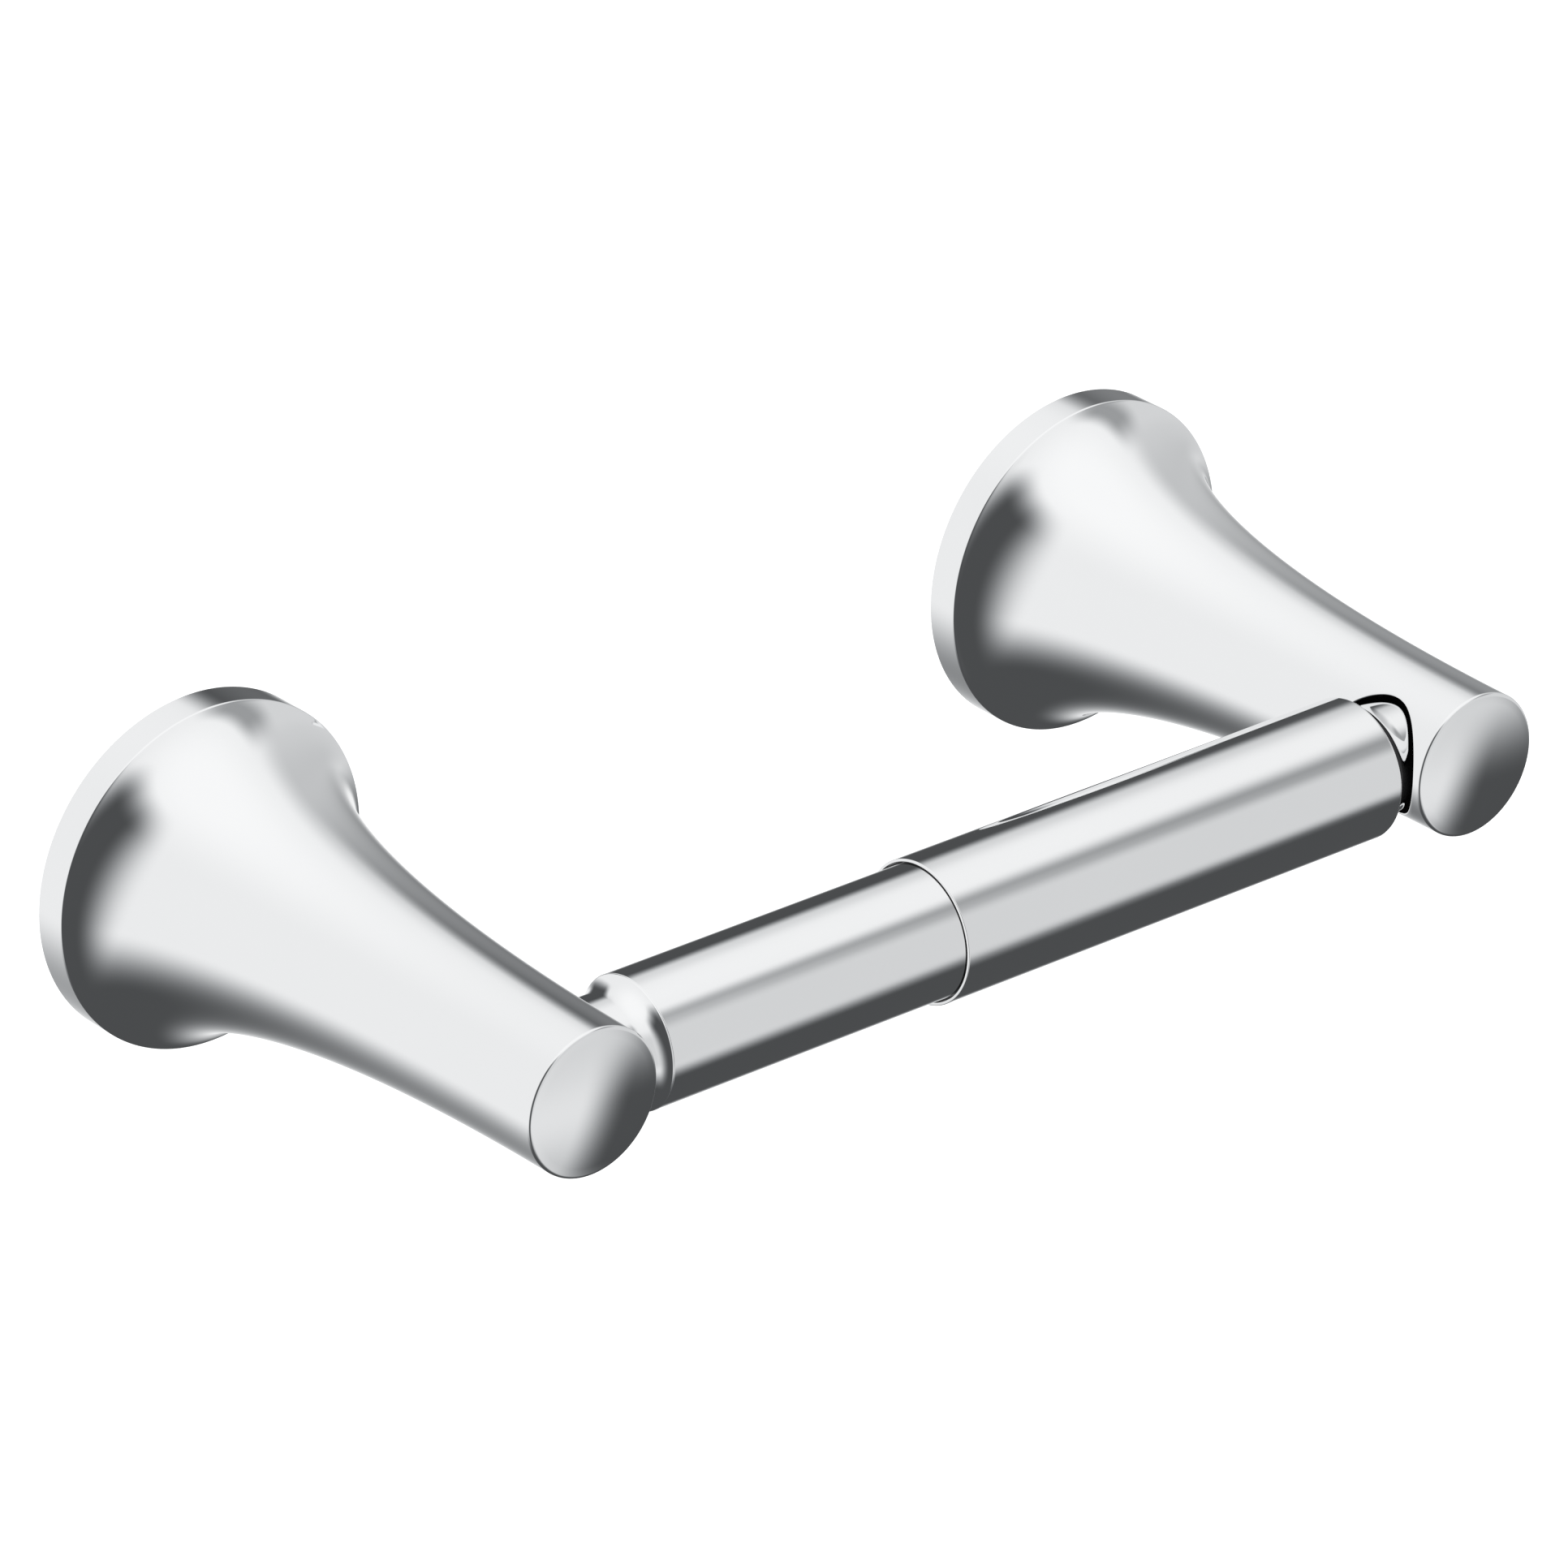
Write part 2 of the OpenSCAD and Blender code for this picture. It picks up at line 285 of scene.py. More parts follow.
def combine(obj, other, operation):
    """Joins or cuts one mesh with another, applies the result and removes the other."""
    step = obj.modifiers.new("combine", "BOOLEAN")
    step.object = other
    step.operation = operation
    step.solver = "EXACT"
    bpy.context.view_layer.update()
    graph = bpy.context.evaluated_depsgraph_get()
    result = bpy.data.meshes.new_from_object(obj.evaluated_get(graph))
    obj.modifiers.clear()
    old = obj.data
    obj.data = result
    bpy.data.meshes.remove(old)
    bpy.data.objects.remove(other)
    return obj


def bevel(obj, width, angle=40, segments=3):
    """Rounds every edge that turns by more than the angle."""
    step = obj.modifiers.new("bevel", "BEVEL")
    step.width = width * MM
    step.segments = segments
    step.limit_method = "ANGLE"
    step.angle_limit = math.radians(angle)
    step.use_clamp_overlap = True
    step.harden_normals = False


# ---- Post castings -------------------------------------------------------------------


FLARE_START = Vector((RIM_W, FLANGE_R))
FLARE_START += RIM_TURN * Vector((math.cos(FLARE_ANGLE), -math.sin(FLARE_ANGLE)))
FLARE_END = Vector((POST_L - TIP_FILLET, TIP_R))
FLARE_POINTS = (
    FLARE_START,
    FLARE_START + FLARE_PULL * Vector((math.cos(FLARE_ANGLE), -math.sin(FLARE_ANGLE))),
    FLARE_END + Vector((-SHAFT_PULL, SHAFT_TAPER)),
    FLARE_END,
)


def flare(t):
    """(distance from the wall, radius) along the flare, for t from 0 at the rim to 1 at the tip."""
    a, b, c, d = FLARE_POINTS
    s = 1 - t
    return s ** 3 * a + 3 * s * s * t * b + 3 * s * t * t * c + t ** 3 * d


def flare_slope(t):
    """The flare's direction at t, from the wall outwards."""
    a, b, c, d = FLARE_POINTS
    s = 1 - t
    return (3 * s * s * (b - a) + 6 * s * t * (c - b) + 3 * t * t * (d - c)).normalized()


def flare_t(out):
    """The t at which the flare is this far from the wall, found by halving."""
    low, high = 0.0, 1.0
    for _ in range(40):
        middle = (low + high) / 2
        if flare(middle).x < out:
            low = middle
        else:
            high = middle
    return (low + high) / 2


def flare_radius(out):
    return flare(flare_t(out)).y


# The patch of a post's outside that the socket opens in, as a part of the post's grid
WINDOW_LOW = 64.5
WINDOW_HIGH = POST_L - TIP_FILLET - 0.02
WINDOW_ROWS = 40
WINDOW_COLUMNS = 46
DOME_ROWS = 10
SHAFT_ROWS = 130
HOLLOW_ROWS = 60


def post_rows():
    """Outline of a post from the middle of its tip, down the outside and up into the hollow."""
    dome_r = TIP_R - TIP_FILLET
    dome = []
    for i in range(DOME_ROWS + 1):
        k = i / DOME_ROWS
        dome.append((dome_r * k, POST_L + TIP_DOME * (1 - k ** 2)))
    edge = arc((dome_r, POST_L - TIP_FILLET), TIP_FILLET, 90, 0, 10)
    window = []
    for i in range(WINDOW_ROWS + 1):
        out = WINDOW_HIGH - (WINDOW_HIGH - WINDOW_LOW) * i / WINDOW_ROWS
        window.append((flare_radius(out), out))
    start = flare_t(WINDOW_LOW)
    shaft = []
    for i in range(1, SHAFT_ROWS + 1):
        p = flare(start * (1 - i / SHAFT_ROWS))
        shaft.append((p.y, p.x))
    rim = arc((FLANGE_R - RIM_FILLET, RIM_W - RIM_TURN), RIM_FILLET, math.degrees(FLARE_ANGLE), 0, 8)
    back = [(FLANGE_R, BACK_BREAK), (FLANGE_R - BACK_BREAK, 0)]
    back += [(POCKET_R + BACK_BREAK, 0), (POCKET_R, BACK_BREAK)]
    rows = dome + edge[1:]
    first_window = len(rows)
    rows += window + shaft + held(rim[1:] + back, False)
    return rows, first_window


def hollow_rows():
    """Outline of the hollow, from the pocket for the bracket up to its floor."""
    rows = []
    for i in range(HOLLOW_ROWS + 1):
        p, s = flare(i / HOLLOW_ROWS), flare_slope(i / HOLLOW_ROWS)
        inside = (p.y - WALL_T * s.x, p.x + WALL_T * s.y)
        if inside[0] < POCKET_R and inside[1] < HOLLOW_DEPTH:
            rows.append(inside)
    corner = (POCKET_R, rows[0][1])
    floor_r = rows[-1][0]
    bend = HOLLOW_ROUNDING
    floor = arc((floor_r - bend, HOLLOW_DEPTH - bend), bend, 0, 90, 6)
    return [corner] + rows + floor + [(floor_r / 2, HOLLOW_DEPTH), (0, HOLLOW_DEPTH)]


def window_border(first_row):
    """The grid points round the opening left for the socket, in order, as (row, column)."""
    last_row = first_row + WINDOW_ROWS
    left, right = -WINDOW_COLUMNS, WINDOW_COLUMNS
    border = [(first_row, c) for c in range(left, right)]
    border += [(r, right) for r in range(first_row, last_row)]
    border += [(last_row, c) for c in range(right, left, -1)]
    border += [(r, left) for r in range(last_row, first_row, -1)]
    return border


def socket_edge_ball(phi):
    """Centre of the ball that rounds the socket's edge, as (out, up, inward), and its post angle."""
    reach = SOCKET_R + SOCKET_EDGE
    out = ROLLER_Y + reach * math.cos(phi)
    up = reach * math.sin(phi)
    ball_r = flare_radius(out) - SOCKET_EDGE
    inward = math.sqrt(ball_r * ball_r - up * up)
    return out, up, inward, math.atan2(up, inward)


def socket_rings(border, rows):
    """Rings of points (inward, up, out) from the opening in the post down to the socket's end."""
    spread_rings = 8
    edge_steps = 5
    widest = socket_edge_ball(math.pi / 2)[3]
    rings = [[] for _ in range(spread_rings)]
    edge = [[] for _ in range(edge_steps + 1)]
    wall = [[] for _ in range(3)]
    angles = []
    for row, column in border:
        out0 = rows[row][1]
        turn0 = 2 * math.pi * column / ROUND
        phi = math.atan2(turn0 * SOCKET_R / widest, out0 - ROLLER_Y)
        angles.append(phi)
        out, up, inward, theta = socket_edge_ball(phi)
        for i in range(spread_rings):
            k = (i + 1) / (spread_rings + 1)
            p_out = out0 + (out - out0) * k
            p_turn = turn0 + (theta - turn0) * k
            r = flare_radius(p_out)
            rings[i].append((r * math.cos(p_turn), r * math.sin(p_turn), p_out))
        centre = Vector((inward, up, out))
        surface = Vector((math.cos(theta), math.sin(theta), 0))
        bore = Vector((0, -math.sin(phi), -math.cos(phi)))
        for i in range(edge_steps + 1):
            edge[i].append(tuple(centre + SOCKET_EDGE * surface.slerp(bore, i / edge_steps)))
        deep = SOCKET_FLOOR + SOCKET_CORNER
        for i, k in enumerate((0.02, 0.5, 1)):
            depth = inward + (deep - inward) * k
            wall[i].append((depth, SOCKET_R * math.sin(phi), ROLLER_Y + SOCKET_R * math.cos(phi)))
    rings += edge + wall
    bend = SOCKET_CORNER
    floor = arc((SOCKET_R - bend, SOCKET_FLOOR + bend), bend, 0, -90, 4)[1:]
    floor.append((PIVOT_HOLE_R + PIVOT_BREAK, SOCKET_FLOOR))
    floor.append((PIVOT_HOLE_R, SOCKET_FLOOR - PIVOT_BREAK))
    floor.append((PIVOT_HOLE_R, SOCKET_FLOOR - PIVOT_DEPTH))
    for r, depth in floor:
        rings.append([(depth, r * math.sin(a), ROLLER_Y + r * math.cos(a)) for a in angles])
    return rings


def post_shell(place):
    """A post's whole skin: outside, hollow and socket, as points and faces."""
    rows, first_window = post_rows()
    border = window_border(first_window)
    sockets = socket_rings(border, rows)
    rows = rows + hollow_rows()
    last_window = first_window + WINDOW_ROWS
    verts, faces, grid = [], [], []
    for radius, out in rows:
        if radius < 1e-6:
            grid.append([len(verts)] * ROUND)
            verts.append(place(0, 0, out))
            continue
        grid.append(list(range(len(verts), len(verts) + ROUND)))
        for k in range(ROUND):
            a = 2 * math.pi * k / ROUND
            verts.append(place(radius * math.cos(a), radius * math.sin(a), out))
    for r in range(len(rows) - 1):
        for k in range(ROUND):
            n = (k + 1) % ROUND
            column = k if k < ROUND / 2 else k - ROUND
            if first_window <= r < last_window and -WINDOW_COLUMNS <= column < WINDOW_COLUMNS:
                continue
            face = dict.fromkeys((grid[r][k], grid[r][n], grid[r + 1][n], grid[r + 1][k]))
            if len(face) > 2:
                faces.append(tuple(face))
    outer = [grid[row][column % ROUND] for row, column in border]
    count = len(outer)
    for ring in sockets:
        inner = list(range(len(verts), len(verts) + count))
        verts += [place(*p) for p in ring]
        for k in range(count):
            n = (k + 1) % count
            faces.append((outer[k], outer[n], inner[n], inner[k]))
        outer = inner
    middle = len(verts)
    verts.append(place(SOCKET_FLOOR - PIVOT_DEPTH, 0, ROLLER_Y))
    faces += [(outer[k], outer[(k + 1) % count], middle) for k in range(count)]
    drop_unused(verts, faces)
    return verts, faces


def drop_unused(verts, faces):
    """Removes the points inside the socket's opening, which no face uses."""
    used = sorted({v for face in faces for v in face})
    place_of = {v: i for i, v in enumerate(used)}
    verts[:] = [verts[v] for v in used]
    faces[:] = [tuple(place_of[v] for v in face) for face in faces]


def extrude(outline, place, low, high):
    """A prism whose outline lies across its length."""
    count = len(outline)
    verts = [place(low, *p) for p in outline] + [place(high, *p) for p in outline]
    faces = [tuple(range(count)), tuple(range(2 * count - 1, count - 1, -1))]
    for k in range(count):
        n = (k + 1) % count
        faces.append((k, n, count + n, count + k))
    return verts, faces


HALF_BRACKET = 16.0
TAB_DEPTH = 6.0
TAB_ANGLE = math.radians(8)
TAB_LEAN = math.tan(TAB_ANGLE)
REST_GAP = 0.05
SCREW_OUT = 2.8
SCREW_HOLE_R = 2.0
DRILL_PAST = 1.0
DRILL_TOP = 18.0
LUMP_BACK = 0.5
LUMP_ROOT = 0.6
LUMP_EDGE = 0.25
PAD_HALF = 6.0
PAD_SLOPE = 1.5
BOSS_HALF = 4.5
BOSS_TOP = 19.4
BOSS_DEPTH = 6.0


def hanging_pad(place):
    """The pad in the flange's pocket that hangs on the bracket's upper tab."""
    low = HALF_BRACKET + REST_GAP
    top = POCKET_R + LUMP_ROOT
    outline = [(low + LUMP_BACK * TAB_LEAN, LUMP_BACK), (low + TAB_DEPTH * TAB_LEAN, TAB_DEPTH)]
    outline += [(top - PAD_SLOPE, TAB_DEPTH), (top, RIM_W), (top, LUMP_BACK)]
    return extrude(outline, place, -PAD_HALF, PAD_HALF)


def screw_boss(place):
    """The boss in the flange's pocket that the set screw is threaded through."""
    low = -POCKET_R - LUMP_ROOT
    outline = [(low, LUMP_BACK), (-BOSS_TOP, LUMP_BACK), (-BOSS_TOP, BOSS_DEPTH), (low, BOSS_DEPTH)]
    return extrude(outline, place, -BOSS_HALF, BOSS_HALF)


def screw_hole(place):
    """The drill that opens the flange and its boss from below."""
    def down(side, out, along):
        return place(side, along, out + SCREW_OUT)
    low = -FLANGE_R - DRILL_PAST
    outline = [(0, low), (SCREW_HOLE_R, low), (SCREW_HOLE_R, -DRILL_TOP), (0, -DRILL_TOP)]
    return turn(outline, down, False, SMALL_ROUND)


def post_casting(name, sign):
    """A post: its skin, with the pad and the boss joined on and the screw hole drilled."""
    place = post_place(sign)
    obj = make_piece(name, *post_shell(place))
    for make in (hanging_pad, screw_boss):
        lump = make_piece("lump", *make(place))
        bevelled = bmesh.new()
        bevelled.from_mesh(lump.data)
        bmesh.ops.bevel(bevelled, geom=bevelled.edges[:], offset=LUMP_EDGE * MM, segments=2,
                        affect="EDGES", profile=0.5)
        bevelled.to_mesh(lump.data)
        bevelled.free()
        combine(obj, lump, "UNION")
    combine(obj, make_piece("drill", *screw_hole(place)), "DIFFERENCE")
    shade(obj.data)
    return obj


# ---- Wall brackets and set screws ----------------------------------------------------


PLATE_T = 1.5
BEND_R = 0.5
TAB_EDGE_R = 0.3
BRACKET_HALF = (BRACKET_HIGH[0] - BRACKET_LOW[0]) / 2
WALL_HOLE_R = 2.25
WALL_HOLE_UP = 9.0


def bracket_outline():
    """Side view of the bent sheet, as (up, out from the wall)."""
    skin = PLATE_T / math.cos(TAB_ANGLE)
    tip = HALF_BRACKET + TAB_DEPTH * TAB_LEAN
    inner = HALF_BRACKET + PLATE_T * TAB_LEAN - skin
    bend = PLATE_T + BEND_R
    corners = [(-HALF_BRACKET, 0, bend), (HALF_BRACKET, 0, bend), (tip, TAB_DEPTH)]
    corners += [(tip - skin, TAB_DEPTH), (inner, PLATE_T, BEND_R), (-inner, PLATE_T, BEND_R)]
    corners += [(skin - tip, TAB_DEPTH), (-tip, TAB_DEPTH)]
    return rounded(corners, TAB_EDGE_R, 6)


def wall_bracket(name, sign):
    """A bracket with its two wall screw holes."""
    place = post_place(sign)
    obj = make_piece(name, *extrude(bracket_outline(), place, -BRACKET_HALF, BRACKET_HALF))
    for side in (-1, 1):
        def through(across, up, out):
            return place(across, up + side * WALL_HOLE_UP, out)
        low, high = -DRILL_PAST, PLATE_T + 2.5
        outline = [(0, low), (WALL_HOLE_R, low), (WALL_HOLE_R, high), (0, high)]
        drill = make_piece("drill", *turn(outline, through, False, SMALL_ROUND))
        combine(obj, drill, "DIFFERENCE")
    shade(obj.data)
    bevel(obj, 0.15)
    return obj


SCREW_R = (SCREW_HIGH[0] - SCREW_LOW[0]) / 2
SCREW_L = SCREW_HIGH[2] - SCREW_LOW[2]
THREAD_PITCH = 0.7
THREAD_DEPTH = 0.4
THREAD_ROWS = 14
THREAD_START = 0.45
POINT_L = 1.15
HEX_FLATS = 2.0
HEX_DEPTH = 2.5


def thread(radius, along, angle):
    """Radius on the thread's flanks; it fades out at the screw's two ends."""
    if radius < SCREW_R - 0.01:
        return radius
    wave = (along / THREAD_PITCH - angle / (2 * math.pi)) % 1
    ridge = min(1, max(0, 2.6 * abs(wave - 0.5) - 0.15))
    return radius - THREAD_DEPTH * (1 - ridge)


def set_screw(name, sign):
    """A threaded grub screw with a hexagon socket below and a cup point above."""
    place = post_place(sign)
    head = SCREW_LOW[2]

    def up_from_head(side, out, along):
        return place(side, head + along, out + SCREW_OUT)
    steps = int((SCREW_L - 1.5) / THREAD_PITCH * THREAD_ROWS)
    low, high = THREAD_START, SCREW_L - POINT_L
    outline = [(0, 0), (SCREW_R - 0.5, 0)]
    outline += [(SCREW_R, low + (high - low) * i / steps) for i in range(steps + 1)]
    outline += [(SCREW_R - 0.45, SCREW_L - 1), (SCREW_R * 0.45, SCREW_L - 0.08)]
    outline += [(SCREW_R * 0.4, SCREW_L), (0, SCREW_L)]
    obj = make_piece(name, *turn(outline, up_from_head, False, 64, thread), 50)
    corner = HEX_FLATS / math.sqrt(3)
    hexagon = [(0, -1), (corner, -1), (corner, HEX_DEPTH), (0, HEX_DEPTH + 0.5)]
    combine(obj, make_piece("hex", *turn(hexagon, up_from_head, False, 6)), "DIFFERENCE")
    shade(obj.data, 28)
    return obj


# ---- Roller --------------------------------------------------------------------------


def outer_tube():
    """The larger tube: its lip, the recess behind it, the land the smaller tube slides in, its bore."""
    mouth = [(MOUTH_R, MOUTH_X + MOUTH_BREAK), (MOUTH_R + MOUTH_BREAK, MOUTH_X)]
    mouth += arc((OUTER_R - EDGE_R, MOUTH_X + EDGE_R), EDGE_R, -90, 0, 4)
    end = arc((OUTER_R - EDGE_R, OUTER_END - EDGE_R), EDGE_R, 0, 90, 4)
    inside = [(BORE_R, OUTER_END), (BORE_R, LAND_END), (LAND_R, LAND_END - CHAMFER)]
    inside += [(LAND_R, MOUTH_X + MOUTH_DEPTH), (MOUTH_R, MOUTH_X + MOUTH_DEPTH)]
    outline = held(mouth + end + inside, True)
    return make_piece("outer_roller_tube", *turn(outline, along_roller))


def inner_tube():
    """The smaller tube, with a ring of points just inside the mouth where the painted shade begins."""
    outside = arc((INNER_R - EDGE_R, -INNER_END + EDGE_R), EDGE_R, -90, 0, 4)
    outside.append((INNER_R, MOUTH_X + 0.04))
    outside += [(INNER_R, HIDDEN_END - CHAMFER), (INNER_R - CHAMFER, HIDDEN_END)]
    inside = [(INNER_BORE_R, HIDDEN_END), (INNER_BORE_R, -INNER_END)]
    outline = held(outside + inside, True)
    return make_piece("inner_roller_tube", *turn(outline, along_roller))


def cove(reach):
    """Radius of the cove, this far along from where it meets the neck."""
    return NECK_R + COVE_R - math.sqrt(COVE_R * COVE_R - reach * reach)


def plug_outline(tube_r, end):
    """Outside of a roller end, from its seam with the tube's end to the tip of its pivot."""
    shoulder_r = tube_r - SHOULDER_DROP
    drop = NECK_R + COVE_R - shoulder_r + CREST_R
    reach = math.sqrt((COVE_R + CREST_R) ** 2 - drop * drop)
    tilt = math.atan2(reach, drop)
    start = COVE_R * math.sin(tilt)
    points = [(shoulder_r, end)]
    points += arc((shoulder_r - CREST_R, NECK_X - reach), CREST_R, 0, math.degrees(tilt), 8)
    for i in range(1, 29):
        along = start * (1 - i / 28)
        points.append((cove(along), NECK_X - along))
    points += arc((NECK_R - NECK_ROUNDING, NECK_END - NECK_ROUNDING), NECK_ROUNDING, 0, 90, 6)
    points += [(PIVOT_R + PIVOT_ROOT, NECK_END), (PIVOT_R, NECK_END + PIVOT_ROOT)]
    points += [(PIVOT_R, PIVOT_END - CHAMFER), (PIVOT_R - CHAMFER, PIVOT_END), (0, PIVOT_END)]
    return points


def right_end():
    """The larger tube's end, with the boss that the spring sits on."""
    spigot_r = BORE_R - PRESS_GAP
    low = SPRING_END
    tip = low - BOSS_L
    outline = [(0, HOLLOW_END), (RIGHT_HOLLOW_R, HOLLOW_END), (RIGHT_HOLLOW_R, tip)]
    outline += [(BOSS_R - CHAMFER, tip), (BOSS_R, tip + CHAMFER), (BOSS_R, low)]
    outline += [(spigot_r - CHAMFER, low), (spigot_r, low + CHAMFER), (spigot_r, OUTER_END)]
    outline += plug_outline(OUTER_R, OUTER_END)
    return make_piece("right_roller_end", *turn(held(outline, False), along_roller, False))


def left_end():
    """The smaller tube's end."""
    spigot_r = INNER_BORE_R - PRESS_GAP
    low = INNER_END - PLUG_DEPTH
    outline = [(0, HOLLOW_END), (LEFT_HOLLOW_R, HOLLOW_END), (LEFT_HOLLOW_R, low)]
    outline += [(spigot_r - CHAMFER, low), (spigot_r, low + CHAMFER), (spigot_r, INNER_END)]
    outline += plug_outline(INNER_R, INNER_END)
    return make_piece("left_roller_end", *turn(held(outline, False), along_roller_back, False))


def tube_guide():
    """The nylon guide in the smaller tube's hidden end: spigot, stop and the spring's boss."""
    stop_r = GUIDE_HIGH[2]
    spigot_r = INNER_BORE_R - PRESS_GAP
    low, high = GUIDE_LOW[0], GUIDE_HIGH[0]
    corners = [(GUIDE_BORE_R, low), (spigot_r - 0.5, low), (spigot_r, low + 0.8)]
    corners += [(spigot_r, HIDDEN_END, 0), (stop_r, HIDDEN_END), (stop_r, STOP_END)]
    corners += [(BOSS_R, STOP_END, 0), (BOSS_R, high, 0.4), (GUIDE_BORE_R, high)]
    outline = held(rounded(corners, 0.2), True)
    return make_piece("tube_guide", *turn(outline, along_roller))


def spring():
    """Round wire coiled between the tube guide and the right roller end, its end coils closed."""
    pitch = 2 * WIRE_R + COIL_GAP
    first = STOP_END + WIRE_R + COIL_GAP
    last = SPRING_END - WIRE_R - COIL_GAP
    open_pitch = (last - first - 2 * pitch) / OPEN_COILS
    per_turn, sides = 64, 16

    def place_along(turns):
        if turns < 1:
            return first + turns * pitch
        if turns > OPEN_COILS + 1:
            return last - (OPEN_COILS + 2 - turns) * pitch
        return first + pitch + (turns - 1) * open_pitch
    rings = (OPEN_COILS + 2) * per_turn
    verts, faces = [], []
    for i in range(rings + 1):
        a = 2 * math.pi * i / per_turn
        for k in range(sides):
            b = 2 * math.pi * k / sides
            r = COIL_R + WIRE_R * math.cos(b)
            along = place_along(i / per_turn) + WIRE_R * math.sin(b)
            verts.append((along, r * math.cos(a) - ROLLER_Y, r * math.sin(a)))
    for i in range(rings):
        for k in range(sides):
            n = (k + 1) % sides
            c = i * sides
            faces.append((c + k, c + n, c + sides + n, c + sides + k))
    faces.append(tuple(range(sides)))
    faces.append(tuple(rings * sides + k for k in range(sides)))
    return make_piece("roller_spring", verts, faces, 50)


# ---- Materials -----------------------------------------------------------------------


class Surface:
    """A metal or plastic built from nodes, with small helpers for the detail that varies."""

    def __init__(self, name, colour, metallic, roughness):
        self.material = bpy.data.materials.new(name)
        self.material.use_nodes = True
        self.tree = self.material.node_tree
        self.shader = self.tree.nodes["Principled BSDF"]
        self.shader.inputs["Base Color"].default_value = (*colour, 1)
        self.shader.inputs["Metallic"].default_value = metallic
        self.shader.inputs["Roughness"].default_value = roughness
        self.place = self.node("ShaderNodeTexCoord").outputs["Object"]
        self.normal = None

    def node(self, kind, **settings):
        made = self.tree.nodes.new(kind)
        for key, value in settings.items():
            setattr(made, key, value)
        return made

    def link(self, source, target):
        self.tree.links.new(source, target)

    def stretched(self, scale):
        mapping = self.node("ShaderNodeMapping")
        mapping.inputs["Scale"].default_value = scale
        self.link(self.place, mapping.inputs["Vector"])
        return mapping.outputs["Vector"]

    def noise(self, scale, detail=4, vector=None, distortion=0):
        made = self.node("ShaderNodeTexNoise")
        made.inputs["Scale"].default_value = scale
        made.inputs["Detail"].default_value = detail
        made.inputs["Distortion"].default_value = distortion
        self.link(vector or self.place, made.inputs["Vector"])
        return made.outputs["Fac"]

    def spread(self, value, low, high, start=0.0, end=1.0):
        made = self.node("ShaderNodeMapRange")
        made.inputs["From Min"].default_value = start
        made.inputs["From Max"].default_value = end
        made.inputs["To Min"].default_value = low
        made.inputs["To Max"].default_value = high
        self.link(value, made.inputs["Value"])
        return made.outputs["Result"]

    def sum(self, a, b, operation="ADD"):
        made = self.node("ShaderNodeMath", operation=operation)
        self.link(a, made.inputs[0])
        self.link(b, made.inputs[1])
        return made.outputs["Value"]

    def mix_colour(self, factor, low, high):
        made = self.node("ShaderNodeMix", data_type="RGBA")
        made.inputs[6].default_value = (*low, 1)
        made.inputs[7].default_value = (*high, 1)
        self.link(factor, made.inputs[0])
        self.link(made.outputs[2], self.shader.inputs["Base Color"])

    def roughness(self, value):
        self.link(value, self.shader.inputs["Roughness"])

    def bump(self, height, distance_mm, strength=1.0):
        made = self.node("ShaderNodeBump")
        made.inputs["Strength"].default_value = strength
        made.inputs["Distance"].default_value = distance_mm * MM
        self.link(height, made.inputs["Height"])
        if self.normal:
            self.link(self.normal, made.inputs["Normal"])
        self.normal = made.outputs["Normal"]
        self.link(self.normal, self.shader.inputs["Normal"])


def chrome(name, colour=(0.88, 0.885, 0.89), base=0.015):
    """Polished chrome plate: faint handling haze, fine polishing lines and a slight ripple."""
    s = Surface(name, colour, 1.0, base)
    haze = s.spread(s.noise(38, 5, distortion=0.4), base, base + 0.025, 0.35, 0.75)
    fine = s.spread(s.noise(900, 3, s.stretched((1, 1, 0.15))), 0, 0.018, 0.4, 0.7)
    s.roughness(s.sum(haze, fine))
    tone = s.noise(22, 3)
    s.mix_colour(tone, [c * 0.985 for c in colour], [min(1, c * 1.01) for c in colour])
    s.bump(s.noise(140, 2), 0.0012)
    return s.material


def raw_casting():
    """Inside of a casting: dull as-cast zinc under a thin film of oxide."""
    s = Surface("cast_zinc_inside", (0.42, 0.43, 0.44), 0.3, 0.55)
    s.roughness(s.spread(s.noise(160, 6), 0.45, 0.65))
    s.mix_colour(s.noise(60, 5), (0.34, 0.35, 0.36), (0.46, 0.47, 0.48))
    s.bump(s.noise(700, 5), 0.05, 0.7)
    return s.material


def bore_painted_shade(name, low, high):
    """Painted shade inside a bore: near-black metal, much darker than the plating there really is, so
    that the recess reads dark.
    """
    middle = [(a + b) / 2 for a, b in zip(low, high)]
    s = Surface(name, middle, 1.0, 0.3)
    s.roughness(s.spread(s.noise(260, 4), 0.22, 0.38))
    s.mix_colour(s.noise(90, 4), low, high)
    s.bump(s.noise(900, 3), 0.02, 0.6)
    return s.material


def bracket_steel():
    """Zinc-plated sheet with a rolled grain."""
    s = Surface("zinc_plated_sheet", (0.6, 0.61, 0.62), 1.0, 0.32)
    grain = s.noise(1100, 4, s.stretched((1, 1, 0.05)))
    s.roughness(s.sum(s.spread(grain, 0.24, 0.34), s.spread(s.noise(70, 4), 0, 0.12)))
    s.mix_colour(s.noise(90, 5), (0.5, 0.52, 0.53), (0.68, 0.69, 0.69))
    s.bump(grain, 0.008, 0.6)
    return s.material


def black_screw():
    """Black oxide on hardened steel."""
    s = Surface("black_oxide", (0.06, 0.06, 0.065), 1.0, 0.38)
    s.roughness(s.spread(s.noise(800, 4), 0.3, 0.48))
    s.mix_colour(s.noise(500, 4), (0.045, 0.045, 0.05), (0.1, 0.1, 0.105))
    s.bump(s.noise(2600, 3), 0.008, 0.5)
    return s.material


